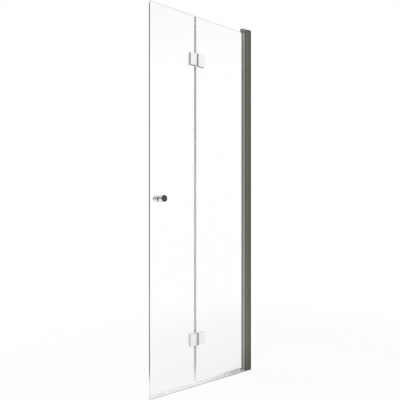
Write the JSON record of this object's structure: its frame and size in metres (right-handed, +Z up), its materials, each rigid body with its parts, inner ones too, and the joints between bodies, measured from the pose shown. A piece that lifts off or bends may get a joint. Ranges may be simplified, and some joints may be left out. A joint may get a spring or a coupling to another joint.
{
  "type": "bifold shower door",
  "caption": "Bifold shower door: a glass pane turns on a wall profile and carries a second pane that folds against it on block hinges, with a double knob.",
  "frame": {"origin": "where the wall channel's mounting face meets the floor, in the middle plane of the glass", "axes": "+Z up, the door runs from the wall towards -X, -Y is the outside, which the picture shows"},
  "size_m": [0.7035, 0.08, 2.005],
  "materials": {
    "profile_metal": "satin anodised, warm dark grey",
    "cap_plastic": "matt moulded, dark grey",
    "block_metal": "satin, mid grey",
    "stile_metal": "satin anodised, light grey",
    "rail_metal": "bright anodised",
    "hinge_chrome": "polished",
    "knob_chrome": "polished",
    "smoked_metal": "polished, smoked",
    "steel": "satin",
    "clear_glass": "clear toughened, polished edges",
    "clear_seal": "translucent soft strip",
    "nylon": "natural white",
    "grey_rubber": "matt grey",
    "dark_rubber": "matt black"
  },
  "bodies": {
    "wall_frame": {"wall_channel": "profile_metal", "jamb_profile": "profile_metal", "jamb_clamp_screws": "steel", "jamb_screw_caps": "profile_metal", "top_cap": "cap_plastic", "upper_pivot_block": "block_metal", "lower_pivot_block": "block_metal", "upper_pivot_bush": "nylon", "lower_pivot_bush": "nylon", "pivot_block_screws": "steel", "threshold_rail": "rail_metal", "threshold_end_cap": "nylon"},
    "pivot_panel": {"pivot_stile": "stile_metal", "stile_gasket": "grey_rubber", "pivot_glass": "clear_glass", "upper_stile_plug": "steel", "lower_stile_plug": "steel", "stile_plug_screws": "steel", "pivot_drip_seal": "clear_seal", "pivot_edge_seal": "clear_seal", "upper_pivot_leaf": "hinge_chrome", "lower_pivot_leaf": "hinge_chrome", "pivot_clamp_plates": "hinge_chrome", "pivot_hinge_pads": "clear_seal", "pivot_hinge_screws": "steel", "upper_hinge_pin": "steel", "lower_hinge_pin": "steel"},
    "folding_panel": {"fold_glass": "clear_glass", "fold_drip_seal": "clear_seal", "fold_edge_seal": "clear_seal", "upper_fold_leaf": "hinge_chrome", "lower_fold_leaf": "hinge_chrome", "fold_clamp_plates": "hinge_chrome", "fold_hinge_pads": "clear_seal", "fold_hinge_screws": "steel", "hinge_bushes": "nylon", "hinge_washers": "nylon", "outer_knob": "knob_chrome", "inner_knob": "knob_chrome", "knob_discs": "smoked_metal", "knob_stud": "steel", "knob_sleeve": "nylon", "knob_washers": "dark_rubber"}
  },
  "joints": [
    {"name": "wall_pivot", "type": "hinge", "parent": "wall_frame", "child": "pivot_panel", "pos_m": [-0.05, 0, 0], "axis": [0, 0, -1], "range_deg": [0, 90]},
    {"name": "fold", "type": "hinge", "parent": "pivot_panel", "child": "folding_panel", "pos_m": [-0.4117, -0.0232, 0], "axis": [0, 0, 1], "range_deg": [0, 180]}
  ]
}
